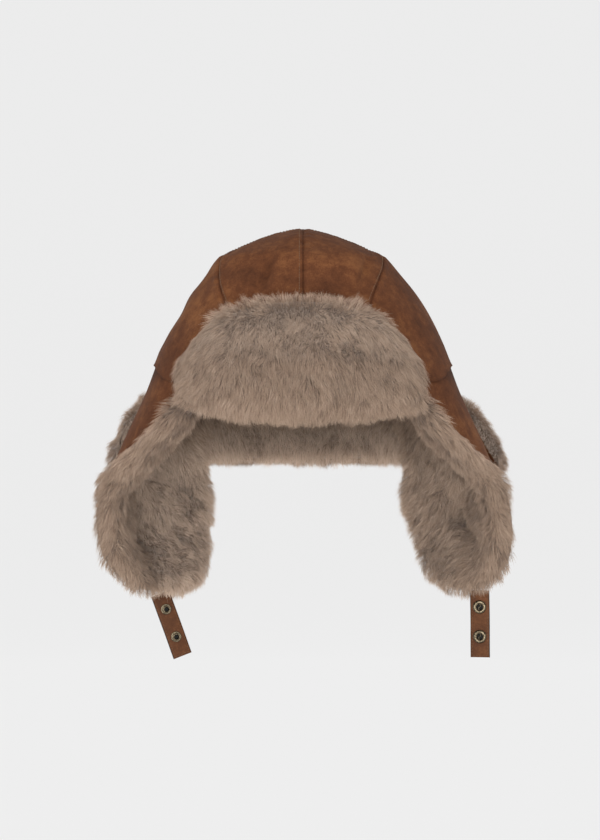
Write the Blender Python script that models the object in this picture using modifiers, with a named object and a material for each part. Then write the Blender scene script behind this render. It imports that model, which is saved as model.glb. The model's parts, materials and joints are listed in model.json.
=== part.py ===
"""Trapper hat: a six-panel leather crown on a flared band, with fur lining, a turned-up front
flap, a fur cuff round the back, two ear flaps and two chin straps that close with snaps.

Metres, +Z up. The origin is the middle of the head opening, level with the rear hem.
The front of the hat faces -Y. Left and right are the wearer's, so left is +X.
"""
from math import cos, pi, radians, sin, sqrt

import bmesh
import bpy
from mathutils import Matrix, Vector

# Half width of the hat's side outline against height, from the top of the crown down.
CROWN_OUTLINE = [(0.000, 0.1720), (0.024, 0.1675), (0.045, 0.1600), (0.063, 0.1500),
                 (0.076, 0.1335), (0.088, 0.1140), (0.100, 0.0930), (0.110, 0.0720)]
BAND_OUTLINE = [(0.1085, 0.0715), (0.1165, 0.0500), (0.1310, 0.0180), (0.1460, -0.0145)]
BAND_DEPTHS = [(0.1010, 0.0715), (0.1035, 0.0300), (0.1000, 0.0000), (0.0980, -0.0145)]
CROWN_DEPTH_RATIO = 0.93
CROWN_SEAM_Z = 0.0720
CROWN_HOLE_R = 0.003
CROWN_ROWS = 9
LINING_HOLE_R = 0.008

# Cloth and fur thicknesses.
LEATHER = 0.0014
WADDING_INSET = 0.0026
WADDING = 0.0026
LINING_INSET = 0.0072
LINING = 0.0009
FUR_INSET = 0.0030
FUR_PILE = 0.0130
SEAM_GAP = 0.0006
LINING_GAP = 0.0020

# Where the band's pieces meet, as angles from +X towards the back, in degrees.
FRONT_EDGE_ANGLE = -40.0
EAR_FRONT_ANGLE = -18.0
EAR_REAR_ANGLE = 50.0
BACK_SEAM_ANGLE = 58.0
BAND_TRIM_ANGLE = 0.15
FUR_TRIM_ANGLE = 1.5
FUR_TOP_GAP = 0.0030
FUR_HEM_RISE = 0.0010
BROW_PILE = 0.0090
BROW_Z = 0.0340
REAR_HEM_Z = 0.0000
FOLD_Z = -0.0120

# Front flap, turned up against the crown.
FRONT_FLAP_HALF_WIDTHS = (0.089, 0.063)
FRONT_FLAP_BULGE = 0.0060
FRONT_FLAP_HEIGHT_TOP = 0.1150
FRONT_FLAP_CORNER_DROP = 0.0160
FRONT_FLAP_CORNER_RISE = 0.0070
FRONT_FLAP_STAND = 0.0050
FRONT_BACKING_PROUD = 0.0040
FRONT_STIFFENER_PROUD = 0.0076
FRONT_STIFFENER_MARGIN = 0.0040
FRONT_STIFFENER = 0.0018
FRONT_FUR_PROUD = 0.0255
FRONT_FUR_OVERHANG = 0.0050
FRONT_FUR_PILE = 0.0145

# Rear cuff.
CUFF_END_ANGLE = 15.0
CUFF_BOTTOM_Z = -0.0040
CUFF_TOP_Z = 0.0480
CUFF_CORNER_DROP = 0.0080
CUFF_BACKING_PROUD = 0.0026
CUFF_FUR_PROUD = 0.0215
CUFF_FUR_PILE = 0.0150
CUFF_FUR_OVERHANG = 0.0030

# Ear flaps.
HINGE_TURN = radians(30.0)
HINGE_X = 0.1385
HINGE_Y = 0.0380
HINGE_Z = -0.0145
EAR_TOP_DROP = 0.0020
EAR_CORNER_DROP = 0.0060
EAR_LENGTH = 0.0790
EAR_TOP_HALF = 0.0570
EAR_BOTTOM_HALF = 0.0460
EAR_TWIST = radians(12.0)
EAR_FRONT_CURL = 0.0210
EAR_REAR_CURL = 0.0150
EAR_LOW_CURL = 0.0030
EAR_LEAN_LEFT = 0.0160
EAR_LEAN_RIGHT = 0.0280
EAR_HINGE_PROUD = 0.0030
EAR_END_ROUND = 0.36
EAR_WADDING_INSET = 0.0024
EAR_WADDING = 0.0022
EAR_WADDING_MARGIN = 0.0060
EAR_WADDING_TOP = 0.0040
EAR_FUR_INSET = 0.0056
EAR_FUR_PILE = 0.0165
EAR_FUR_OVERHANG = 0.0090
EAR_FUR_TOP = 0.0100

# Chin straps and their snaps.
STRAP_WIDTH = 0.0144
STRAP_LENGTH = 0.0440
STRAP_THICK = 0.0020
STRAP_TOP = 0.0010
STRAP_CLEAR = 0.0008
STRAP_INSET = 0.0020
STRAP_BELOW_FLAP = 0.0090
STRAP_EDGE = 0.0004
STRAP_TURN = radians(14.0)
STRAP_LEANS = {1: radians(0.5), -1: radians(20.0)}
STRAP_PLACES = {1: 0.32, -1: 0.50}
SNAP_FROM_END = 0.0155
SNAP_PITCH = 0.0220
SNAP_HOLE_R = 0.0017
SNAP_POST_R = 0.00125
SNAP_STEPS = 14
SNAP_SEAT = 0.0003
SNAP_RING_GAP = 0.0004
STUD_CAP_R = 0.0040
SOCKET_CAP_R = 0.0045
SPRING_WIRE_R = 0.00022
SPRING_REACH = 0.0021
SPRING_SWAY = 0.0018
SPRING_HEIGHT = 0.0014
SPRING_POINTS = 13

COLOURS = {
    "leather": ((0.150, 0.062, 0.030, 1.0), 0.62, 0.0),
    "fur": ((0.235, 0.165, 0.125, 1.0), 0.95, 0.0),
    "lining": ((0.060, 0.040, 0.030, 1.0), 0.80, 0.0),
    "wadding": ((0.700, 0.680, 0.640, 1.0), 0.95, 0.0),
    "brass": ((0.330, 0.260, 0.160, 1.0), 0.38, 1.0),
}


def clear_scene():
    for obj in list(bpy.data.objects):
        bpy.data.objects.remove(obj, do_unlink=True)


def make_collection(name):
    collection = bpy.data.collections.new(name)
    bpy.context.scene.collection.children.link(collection)
    return collection


def make_material(name, finish):
    colour, roughness, metallic = COLOURS[finish]
    material = bpy.data.materials.new(name + "_" + finish)
    material.use_nodes = True
    shader = material.node_tree.nodes["Principled BSDF"]
    shader.inputs["Base Color"].default_value = colour
    shader.inputs["Roughness"].default_value = roughness
    shader.inputs["Metallic"].default_value = metallic
    return material


def lerp(first, last, share):
    return first + (last - first) * share


def smooth_step(low, high, value):
    share = min(max((value - low) / (high - low), 0.0), 1.0)
    return share * share * (3.0 - 2.0 * share)


def knot_slopes(knots):
    """Slopes of a smooth curve through (value, place) knots, one for each knot."""
    slopes = []
    for index in range(len(knots)):
        before = knots[max(index - 1, 0)]
        after = knots[min(index + 1, len(knots) - 1)]
        slopes.append((after[0] - before[0]) / (after[1] - before[1]))
    return slopes


def value_at(knots, place):
    """Value at a place of the smooth curve through knots whose places fall in order."""
    slopes = knot_slopes(knots)
    index = 0
    while index < len(knots) - 2 and place < knots[index + 1][1]:
        index += 1
    (start, start_place), (end, end_place) = knots[index], knots[index + 1]
    span = end_place - start_place
    t = min(max((place - start_place) / span, -0.6), 1.6)
    return ((2 * t ** 3 - 3 * t ** 2 + 1) * start + (t ** 3 - 2 * t ** 2 + t) * span * slopes[index]
            + (3 * t ** 2 - 2 * t ** 3) * end + (t ** 3 - t ** 2) * span * slopes[index + 1])


def half_width(z):
    if z > CROWN_SEAM_Z:
        return value_at(CROWN_OUTLINE[1:], z)
    return value_at(BAND_OUTLINE, z)


def half_depth(z):
    if z > CROWN_SEAM_Z:
        return CROWN_DEPTH_RATIO * half_width(z)
    return value_at(BAND_DEPTHS, z)


def band_point(angle, z, inset=0.0):
    """Point of the band's outer face, or of a layer that lies inset inside it."""
    return Vector(((half_width(z) - inset) * cos(angle), (half_depth(z) - inset) * sin(angle), z))


def crown_profile(share):
    """Half width and height on the crown's outline, share 0 at the top and 1 at its seam."""
    place = share * (len(CROWN_OUTLINE) - 1)
    index = min(int(place), len(CROWN_OUTLINE) - 2)
    t = place - index
    knots = [CROWN_OUTLINE[max(index - 1, 0)], CROWN_OUTLINE[index], CROWN_OUTLINE[index + 1],
             CROWN_OUTLINE[min(index + 2, len(CROWN_OUTLINE) - 1)]]
    point = []
    for axis in range(2):
        before, start, end, after = (knot[axis] for knot in knots)
        point.append(0.5 * (2 * start + (end - before) * t
                            + (2 * before - 5 * start + 4 * end - after) * t ** 2
                            + (3 * start - before - 3 * end + after) * t ** 3))
    return Vector(point)


def crown_point(angle, share, inset=0.0):
    """Point of the crown's outer face, or of a layer that lies inset inside it."""
    step = 0.02
    here = crown_profile(share)
    along = crown_profile(min(share + step, 1.0)) - crown_profile(max(share - step, 0.0))
    along.normalize()
    radius = here.x + along.y * inset
    height = here.y - along.x * inset
    return Vector((radius * cos(angle), CROWN_DEPTH_RATIO * radius * sin(angle), height))


def crown_seam_angle(z):
    """Angle of a side panel's seams from the side, narrow at the top and wide at the band."""
    climb = min(max((z - CROWN_SEAM_Z) / 0.083, 0.0), 1.0)
    return radians(62.0 - 50.0 * climb ** 1.6)


def band_hem_z(degrees):
    """Height of the lower edge of a band side: brow, temple edge, ear fold and rear hem."""
    temple = smooth_step(FRONT_EDGE_ANGLE, EAR_FRONT_ANGLE, degrees)
    rear = smooth_step(EAR_REAR_ANGLE, BACK_SEAM_ANGLE, degrees)
    return lerp(lerp(BROW_Z, FOLD_Z, temple), REAR_HEM_Z, rear)


def front_skin(x, z, proud):
    """Point proud of the front of the hat by a distance, at a width x and a height z."""
    turn = min(max(x / (half_width(z) + proud), -0.999), 0.999)
    return Vector((x, -(half_depth(z) + proud) * sqrt(1.0 - turn * turn), z))


def front_flap_point(u, v, proud, grow=0.0):
    """Point of the turned-up front flap, u from side to side and v from the fold to the top."""
    across = 2.0 * u - 1.0
    low_half, high_half = FRONT_FLAP_HALF_WIDTHS
    half = lerp(low_half, high_half, v ** 1.5) + grow + FRONT_FLAP_BULGE * sin(pi * v)
    bottom = BROW_Z + FRONT_FLAP_CORNER_RISE * across ** 2 - 0.3 * grow
    top = FRONT_FLAP_HEIGHT_TOP - FRONT_FLAP_CORNER_DROP * across ** 2 + grow
    z = lerp(bottom, top, v)
    stand = FRONT_FLAP_STAND * (z - BROW_Z) / (FRONT_FLAP_HEIGHT_TOP - BROW_Z)
    return front_skin(across * half, z, proud + stand)


def cuff_point(u, v, proud, grow=0.0):
    """Point of the fur cuff that runs round the back, outside the band."""
    end = CUFF_END_ANGLE
    angle = radians(lerp(end, 180.0 - end, u))
    round_end = abs(2.0 * u - 1.0) ** 8
    z = lerp(CUFF_BOTTOM_Z - 0.5 * grow, CUFF_TOP_Z + grow - CUFF_CORNER_DROP * round_end, v)
    return band_point(angle, z, -proud)


def ear_axes(side, twist=0.0):
    """The hinge's own directions: along it towards the back, and out of the hat."""
    turn = HINGE_TURN + twist
    along = Vector((-side * sin(turn), cos(turn), 0.0))
    outward = Vector((side * cos(turn), sin(turn), 0.0))
    return along, outward


def hinge_point(side):
    return Vector((side * HINGE_X, HINGE_Y, HINGE_Z))


def ear_point(side, u, v, inset=0.0, grow=0.0, top=0.0):
    """Point of an ear flap, u from its front edge to its rear edge and v from the fold down."""
    across = 2.0 * u - 1.0
    length = (EAR_LENGTH + grow) * (1.0 - EAR_END_ROUND * abs(across) ** 2.4)
    drop = lerp(EAR_TOP_DROP + EAR_CORNER_DROP * across ** 2 + top, length, v)
    share = drop / EAR_LENGTH
    bare_half = lerp(EAR_TOP_HALF, EAR_BOTTOM_HALF, v ** 1.5)
    reach = across * (bare_half + grow)
    curl = lerp(EAR_FRONT_CURL if reach < 0.0 else EAR_REAR_CURL, EAR_LOW_CURL, min(share, 1.0))
    lean = EAR_LEAN_LEFT if side > 0 else EAR_LEAN_RIGHT
    along, outward = ear_axes(side, EAR_TWIST * share)
    offset = curl * (reach / EAR_TOP_HALF) ** 2 + inset
    point = hinge_point(side) + along * reach - outward * offset
    point -= ear_axes(side)[1] * (EAR_HINGE_PROUD + lean * share ** 1.8)
    point.z = HINGE_Z - drop
    return point


def face_outward(bm):
    """Turn the faces of an open sheet to look away from the middle of the head."""
    middle = Vector((0.0, 0.0, 0.03))
    total = sum((face.normal.dot(face.calc_center_median() - middle) * face.calc_area()
                 for face in bm.faces), 0.0)
    if total < 0.0:
        bmesh.ops.reverse_faces(bm, faces=bm.faces)


def add_object(name, mesh, finish, collection):
    obj = bpy.data.objects.new(name, mesh)
    mesh.materials.append(make_material(name, finish))
    collection.objects.link(obj)
    return obj


def layer(name, surface, columns, rows, thickness, finish, collection, rounds=0):
    """A sheet shaped by surface(u, v), thickened inwards, and rounded if it is soft."""
    mesh = bpy.data.meshes.new(name)
    bm = bmesh.new()
    bmesh.ops.create_grid(bm, x_segments=columns, y_segments=rows, size=0.5)
    for vertex in bm.verts:
        vertex.co = surface(vertex.co.x + 0.5, vertex.co.y + 0.5)
    bm.normal_update()
    face_outward(bm)
    bm.to_mesh(mesh)
    bm.free()
    obj = add_object(name, mesh, finish, collection)
    solidify = obj.modifiers.new("thickness", "SOLIDIFY")
    solidify.thickness = thickness
    solidify.offset = -1.0
    solidify.use_quality_normals = True
    if rounds:
        soft = obj.modifiers.new("soft", "SUBSURF")
        soft.levels = rounds
        soft.render_levels = rounds
    return obj


def crown_layer(name, first_angle, last_angle, columns, inset, thickness, finish, collection,
                hole=CROWN_HOLE_R, gap=SEAM_GAP):
    """One crown piece between two seams, each given as a function of height."""
    lower_edge = crown_profile(1.0).y + SEAM_GAP
    top_share = hole / CROWN_OUTLINE[1][0] / (len(CROWN_OUTLINE) - 1)

    def surface(u, v):
        share = lerp(top_share, 1.0, v)
        here = crown_profile(share)
        trim = 0.5 * gap / max(here.x, CROWN_HOLE_R)
        start = first_angle(here.y) + trim
        end = last_angle(here.y) - trim
        point = crown_point(lerp(start, end, u), share, inset)
        if v > 0.999:
            point.z = lower_edge
        return point
    return layer(name, surface, columns, CROWN_ROWS, thickness, finish, collection)


def make_crown(collection):
    def front_middle(z):
        return -pi / 2

    def back_middle(z):
        return pi / 2

    def front_seam(z):
        return -crown_seam_angle(z)

    def mirrored(angle):
        return lambda z: pi - angle(z)

    panels = [("crown_front_left", front_middle, front_seam, 5),
              ("crown_side_left", front_seam, crown_seam_angle, 10),
              ("crown_back_left", crown_seam_angle, back_middle, 5)]
    for name, start, end, columns in panels:
        crown_layer(name, start, end, columns, 0.0, LEATHER, "leather", collection)
        crown_layer(name.replace("left", "right"), mirrored(end), mirrored(start), columns,
                    0.0, LEATHER, "leather", collection)


def make_crown_lining(collection):
    """The wadding and the cloth lining, each in two halves that meet over the middle."""
    halves = [("front", -pi, 0.0), ("back", 0.0, pi)]
    for name, start, end in halves:
        crown_layer("crown_wadding_" + name, lambda z, a=start: a, lambda z, a=end: a, 14,
                    WADDING_INSET, WADDING, "wadding", collection, LINING_HOLE_R, LINING_GAP)
        crown_layer("crown_lining_" + name, lambda z, a=start: a, lambda z, a=end: a, 14,
                    LINING_INSET, LINING, "lining", collection, LINING_HOLE_R, LINING_GAP)


def band_surface(side, start, end, inset, top, rise=0.0):
    """A surface on the band from one angle to another, in degrees on the given side."""
    def surface(u, v):
        degrees = lerp(start, end, u)
        bottom = band_hem_z(degrees) + rise
        point = band_point(radians(degrees), lerp(top, bottom, v), inset)
        point.x *= side
        return point
    return surface


def make_band(collection):
    trim = BAND_TRIM_ANGLE
    for side, word in ((1, "left"), (-1, "right")):
        leather = band_surface(side, FRONT_EDGE_ANGLE + trim, BACK_SEAM_ANGLE - trim, 0.0,
                               CROWN_SEAM_Z - SEAM_GAP)
        layer("band_side_" + word, leather, 14, 4, LEATHER, "leather", collection)
        fur = band_surface(side, FRONT_EDGE_ANGLE + FUR_TRIM_ANGLE, BACK_SEAM_ANGLE - FUR_TRIM_ANGLE,
                           FUR_INSET, CROWN_SEAM_Z - FUR_TOP_GAP, 2 * FUR_HEM_RISE)
        layer("side_fur_" + word, fur, 8, 2, FUR_PILE, "fur", collection, rounds=1)

    def brow(u, v, inset=0.0, top=CROWN_SEAM_Z - SEAM_GAP, rise=0.0):
        angle = lerp(-180.0 - FRONT_EDGE_ANGLE + trim, FRONT_EDGE_ANGLE - trim, u)
        return band_point(radians(angle), lerp(top, BROW_Z + rise, v), inset)

    def back(u, v, inset=0.0, top=CROWN_SEAM_Z - SEAM_GAP, rise=0.0):
        angle = lerp(BACK_SEAM_ANGLE + trim, 180.0 - BACK_SEAM_ANGLE - trim, u)
        return band_point(radians(angle), lerp(top, REAR_HEM_Z + rise, v), inset)

    layer("band_brow", brow, 14, 3, LEATHER, "leather", collection)
    layer("band_back", back, 10, 4, LEATHER, "leather", collection)
    layer("brow_fur", lambda u, v: brow(u, v, FUR_INSET, CROWN_SEAM_Z - FUR_TOP_GAP, FUR_HEM_RISE),
          8, 1, BROW_PILE, "fur", collection, rounds=1)
    layer("back_fur", lambda u, v: back(u, v, FUR_INSET, CROWN_SEAM_Z - FUR_TOP_GAP, FUR_HEM_RISE),
          6, 2, FUR_PILE, "fur", collection, rounds=1)


def make_front_flap(collection):
    layer("front_flap_backing", lambda u, v: front_flap_point(u, v, FRONT_BACKING_PROUD), 12, 6,
          LEATHER, "leather", collection)
    layer("front_flap_stiffener", 
          lambda u, v: front_flap_point(u, v, FRONT_STIFFENER_PROUD, -FRONT_STIFFENER_MARGIN),
          12, 6, FRONT_STIFFENER, "wadding", collection)
    layer("front_flap_fur", 
          lambda u, v: front_flap_point(u, v, FRONT_FUR_PROUD, FRONT_FUR_OVERHANG),
          10, 4, FRONT_FUR_PILE, "fur", collection, rounds=1)


def make_rear_cuff(collection):
    layer("rear_cuff_backing", lambda u, v: cuff_point(u, v, CUFF_BACKING_PROUD, -CUFF_FUR_OVERHANG),
          20, 3, LEATHER, "leather", collection)
    layer("rear_cuff_fur", lambda u, v: cuff_point(u, v, CUFF_FUR_PROUD, CUFF_FUR_OVERHANG),
          14, 2, CUFF_FUR_PILE, "fur", collection, rounds=1)


def make_ear_flap(side, word, collection):
    layer("ear_flap_leather_" + word, lambda u, v: ear_point(side, u, v), 10, 7, LEATHER,
          "leather", collection)
    layer("ear_flap_wadding_" + word,
          lambda u, v: ear_point(side, u, v, EAR_WADDING_INSET, -EAR_WADDING_MARGIN, EAR_WADDING_TOP),
          10, 6, EAR_WADDING, "wadding", collection)
    layer("ear_flap_fur_" + word,
          lambda u, v: ear_point(side, u, v, EAR_FUR_INSET, EAR_FUR_OVERHANG, EAR_FUR_TOP),
          7, 4, EAR_FUR_PILE, "fur", collection, rounds=1)


def turned(name, profile, finish, collection, place):
    """A turned piece: a closed profile, down its outer side, swept round its own Z axis."""
    mesh = bpy.data.meshes.new(name)
    bm = bmesh.new()
    points = [bm.verts.new((radius, 0.0, height)) for radius, height in profile]
    closes = profile[0][0] > 0.0
    for index in range(len(points) if closes else len(points) - 1):
        bm.edges.new((points[index], points[(index + 1) % len(points)]))
    bm.to_mesh(mesh)
    bm.free()
    obj = add_object(name, mesh, finish, collection)
    obj.matrix_world = place
    screw = obj.modifiers.new("turn", "SCREW")
    screw.steps = SNAP_STEPS
    screw.render_steps = SNAP_STEPS
    screw.use_merge_vertices = True
    screw.merge_threshold = 0.00005
    return obj


def snap_cap(name, radius, collection, place):
    """The cap behind the strap, whose post goes through the strap's hole."""
    back = -STRAP_THICK / 2 - SNAP_SEAT
    top = STRAP_THICK / 2 + 0.0006
    profile = [(0.0, top), (SNAP_POST_R, top), (SNAP_POST_R, back), (radius, back),
               (radius, back - 0.0006), (radius - 0.0007, back - 0.0010), (0.0, back - 0.0010)]
    return turned(name, profile, "brass", collection, place)


def snap_stud(name, collection, place):
    base = STRAP_THICK / 2 + SNAP_SEAT
    inner = SNAP_POST_R + SNAP_RING_GAP
    profile = [(inner, base + 0.0025), (0.0025, base + 0.0025), (0.0027, base + 0.0020),
               (0.0023, base + 0.0011), (0.0024, base + 0.0007), (0.0036, base + 0.0006),
               (0.0038, base + 0.0003), (0.0038, base), (inner, base)]
    return turned(name, profile, "brass", collection, place)


def snap_socket(name, collection, place):
    base = STRAP_THICK / 2 + SNAP_SEAT
    inner = SNAP_POST_R + SNAP_RING_GAP
    profile = [(0.0029, base + 0.0021), (0.0041, base + 0.0021), (0.0047, base + 0.0016),
               (0.0047, base), (inner, base), (inner, base + 0.0006), (0.0029, base + 0.0006)]
    return turned(name, profile, "brass", collection, place)


def snap_spring(name, collection, place):
    """The S-shaped wire that grips a stud, lying in its socket's recess."""
    curve = bpy.data.curves.new(name, "CURVE")
    curve.dimensions = "3D"
    curve.bevel_depth = SPRING_WIRE_R
    curve.bevel_resolution = 1
    curve.use_fill_caps = True
    curve.resolution_u = 1
    spline = curve.splines.new("POLY")
    spline.points.add(SPRING_POINTS - 1)
    height = STRAP_THICK / 2 + SNAP_SEAT + SPRING_HEIGHT
    for index in range(SPRING_POINTS):
        share = lerp(-1.0, 1.0, index / (SPRING_POINTS - 1))
        x = SPRING_SWAY * sin(share * pi * 0.95)
        spline.points[index].co = (x, SPRING_REACH * share, height, 1.0)
    obj = bpy.data.objects.new(name, curve)
    obj.matrix_world = place
    curve.materials.append(make_material(name, "brass"))
    collection.objects.link(obj)
    return obj


def strap_place(side):
    """Place of a strap: its own Z looks out of its front face, and -Y runs down its length."""
    tip = ear_point(side, STRAP_PLACES[side], 1.0, STRAP_INSET, STRAP_BELOW_FLAP)
    tip.z -= STRAP_TOP
    face = Matrix.Rotation(-side * STRAP_TURN, 4, "Z") @ Matrix.Rotation(pi / 2, 4, "X")
    return Matrix.Translation(tip) @ face @ Matrix.Rotation(STRAP_LEANS[side], 4, "Z")


def make_strap(side, word, collection, cutters):
    place = strap_place(side)
    mesh = bpy.data.meshes.new("chin_strap_" + word)
    bm = bmesh.new()
    bmesh.ops.create_cube(bm, size=1.0)
    middle = -STRAP_CLEAR - STRAP_LENGTH / 2
    shape = Matrix.Translation((0.0, middle, 0.0)) @ Matrix.Diagonal(
        (STRAP_WIDTH, STRAP_LENGTH, STRAP_THICK, 1.0))
    bmesh.ops.transform(bm, matrix=shape, verts=bm.verts)
    bm.to_mesh(mesh)
    bm.free()
    strap = add_object("chin_strap_" + word, mesh, "leather", collection)
    strap.matrix_world = place
    bevel = strap.modifiers.new("soft_edges", "BEVEL")
    bevel.width = STRAP_EDGE
    bevel.segments = 1
    last = -STRAP_CLEAR - STRAP_LENGTH + SNAP_FROM_END
    for row, y in (("lower", last), ("upper", last + SNAP_PITCH)):
        here = place @ Matrix.Translation((0.0, y, 0.0))
        cutter_mesh = bpy.data.meshes.new("snap_hole")
        bm = bmesh.new()
        bmesh.ops.create_cone(bm, cap_ends=True, segments=SNAP_STEPS, radius1=SNAP_HOLE_R,
                              radius2=SNAP_HOLE_R, depth=4 * STRAP_THICK)
        bm.to_mesh(cutter_mesh)
        bm.free()
        cutter = bpy.data.objects.new("snap_hole_" + word + "_" + row, cutter_mesh)
        cutter.matrix_world = here
        cutter.hide_render = True
        cutter.display_type = "WIRE"
        cutters.objects.link(cutter)
        cut = strap.modifiers.new("hole_" + row, "BOOLEAN")
        cut.object = cutter
        if side < 0:
            snap_stud("snap_stud_" + row, collection, here)
            snap_cap("snap_stud_cap_" + row, STUD_CAP_R, collection, here)
        else:
            snap_socket("snap_socket_" + row, collection, here)
            snap_cap("snap_socket_cap_" + row, SOCKET_CAP_R, collection, here)
            snap_spring("snap_spring_" + row, collection, here)


def main():
    clear_scene()
    parts = make_collection("trapper_hat")
    cutters = make_collection("cutters")
    make_crown(parts)
    make_crown_lining(parts)
    make_band(parts)
    make_front_flap(parts)
    make_rear_cuff(parts)
    for side, word in ((1, "left"), (-1, "right")):
        make_ear_flap(side, word, parts)
        make_strap(side, word, parts, cutters)


main()
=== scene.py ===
"""Looks for the trapper hat: leather shell, faux fur, lining, straps and snaps round the frame."""
import json
import math

import bpy
import numpy as np
from mathutils import Matrix, Vector


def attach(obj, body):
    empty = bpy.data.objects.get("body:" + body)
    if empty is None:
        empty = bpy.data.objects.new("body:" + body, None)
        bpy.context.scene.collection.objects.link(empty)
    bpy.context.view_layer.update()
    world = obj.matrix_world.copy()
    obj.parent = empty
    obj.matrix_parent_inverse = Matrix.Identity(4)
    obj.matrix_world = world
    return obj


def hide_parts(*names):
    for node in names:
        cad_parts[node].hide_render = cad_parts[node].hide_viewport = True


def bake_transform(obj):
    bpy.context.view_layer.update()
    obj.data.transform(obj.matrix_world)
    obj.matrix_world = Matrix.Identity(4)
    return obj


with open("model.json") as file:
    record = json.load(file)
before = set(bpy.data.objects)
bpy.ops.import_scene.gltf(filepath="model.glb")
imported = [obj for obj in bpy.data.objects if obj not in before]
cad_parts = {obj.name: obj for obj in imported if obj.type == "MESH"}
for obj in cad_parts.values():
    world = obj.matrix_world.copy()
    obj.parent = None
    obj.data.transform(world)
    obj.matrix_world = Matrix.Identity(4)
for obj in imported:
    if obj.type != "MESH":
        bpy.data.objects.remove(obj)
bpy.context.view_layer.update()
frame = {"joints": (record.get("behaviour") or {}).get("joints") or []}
RIGHT, LEFT = -1, 1
SIDES = ((LEFT, "left"), (RIGHT, "right"))

# ---- shape of the hat, as designed
SHOULDER_OUTLINE = [(0.0, 0.1724), (0.022, 0.1675), (0.044, 0.1592), (0.0605, 0.1522), (0.0645, 0.149),
                    (0.0715, 0.1395), (0.081, 0.1262), (0.091, 0.1095), (0.101, 0.0905), (0.11, 0.072)]
ROUND_OUTLINE = [(0.0, 0.1724), (0.024, 0.168), (0.045, 0.1602), (0.063, 0.149),
                 (0.076, 0.1325), (0.088, 0.113), (0.1, 0.0925), (0.11, 0.072)]
SEAM_BENDS = {LEFT: 3.3, RIGHT: 2.2}
BAND_OUTLINE = [(0.1085, 0.0715), (0.1165, 0.05), (0.131, 0.018), (0.146, -0.0145)]
BAND_DEPTHS = [(0.101, 0.0715), (0.1035, 0.03), (0.1, 0.0), (0.098, -0.0145)]
CROWN_DEPTH = 0.93
SEAM_Z = 0.072
BROW_Z = 0.034
HEM_Z = 0.0
EAR_SEAM_Z = -0.002
JOINTS = {joint["name"]: joint for joint in frame["joints"]}
HINGE = Vector(JOINTS["ear_flap_left_fold"]["pos_m"])
HINGE_TURN = math.radians(30.0)
TEMPLE_ANGLE, EAR_FRONT, EAR_REAR, BACK_ANGLE = -40.0, -18.0, 50.0, 58.0
TEMPLE_HEIGHTS = (-0.014, 0.04)
JOIN_HALF = 0.006
OUTLINE_SLACK = 0.004
PROFILE_STEPS = 500
SLOPE_SHARE = 0.02
SMALLEST_RADIUS = 0.0002
SEAM_DEGREES, SEAM_SWEEP, SEAM_CLIMB = 62.0, 50.0, 0.083

FRONT_HALF_LOW, FRONT_HALF_TOP, FRONT_BULGE = 0.085, 0.06, 0.0065
FRONT_TOP_Z, FRONT_TOP_DROP, FRONT_STAND = 0.115, 0.011, 0.005
FRONT_SHIFT, FRONT_OVERLAP, FRONT_RISE, FRONT_SLANT = -0.002, 0.001, 0.009, 0.0025

CUFF_ENDS, CUFF_SPREAD = (15.0, 165.0), 60
CUFF_LOW_END, CUFF_LOW, CUFF_TOP = -0.01, 0.002, 0.0475
CUFF_ROUND_LOW, CUFF_ROUND_TOP, CUFF_LEAN = 0.004, 0.005, 0.009

EAR_LENGTH, EAR_HALF_TOP, EAR_HALF_LOW, EAR_ROUND = 0.079, 0.057, 0.046, 0.36
EAR_CURL_FRONT, EAR_CURL_REAR, EAR_CURL_LOW = 0.021, 0.015, 0.003
EAR_LEANS, EAR_STAND, EAR_TWIST = {LEFT: 0.016, RIGHT: 0.028}, 0.003, math.radians(12.0)
SIDE_TOP, SIDE_GIRTH = 0.068, 0.13


def curve_through(knots):
    """Smooth function of place through (value, place) knots."""
    ordered = sorted(knots, key=lambda knot: knot[1])
    places = np.array([k[1] for k in ordered])
    values = np.array([k[0] for k in ordered])
    slopes = np.gradient(values, places)

    def at(place):
        place = np.clip(np.asarray(place, float), places[0] - OUTLINE_SLACK, places[-1])
        i = np.clip(np.searchsorted(places, place) - 1, 0, len(places) - 2)
        span = places[i + 1] - places[i]
        t = (place - places[i]) / span
        return ((2 * t ** 3 - 3 * t ** 2 + 1) * values[i] + (t ** 3 - 2 * t ** 2 + t) * span * slopes[i]
                + (3 * t ** 2 - 2 * t ** 3) * values[i + 1] + (t ** 3 - t ** 2) * span * slopes[i + 1])
    return at


band_width = curve_through(BAND_OUTLINE)
band_depth = curve_through(BAND_DEPTHS)
crown_width = curve_through(ROUND_OUTLINE[1:])


def smooth(low, high, value):
    t = np.clip((value - low) / (high - low), 0.0, 1.0)
    return t * t * (3 - 2 * t)


def mix(a, b, t):
    return a + (b - a) * t


def bell(value, width):
    return np.exp(-(value / width) ** 2)


def half_size(z):
    """Half width and half depth of crown and band joined with no step, for what lies over both."""
    above = smooth(SEAM_Z - JOIN_HALF, SEAM_Z + JOIN_HALF, z)
    width = crown_width(z)
    return mix(band_width(z), width, above), mix(band_depth(z), CROWN_DEPTH * width, above)


def even(value):
    """The same value at every place."""
    return lambda u, v=None: np.full_like(u, value)


def stack(x, y, z):
    return np.stack(np.broadcast_arrays(x, y, z), axis=-1)


def band_point(angle, z, inset):
    return stack((band_width(z) - inset) * np.cos(angle), (band_depth(z) - inset) * np.sin(angle), z)


def run_along(path):
    """Distance from a path's start at each of its points."""
    return np.concatenate([[0.0], np.cumsum(np.linalg.norm(np.diff(path, axis=0), axis=1))])


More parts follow.
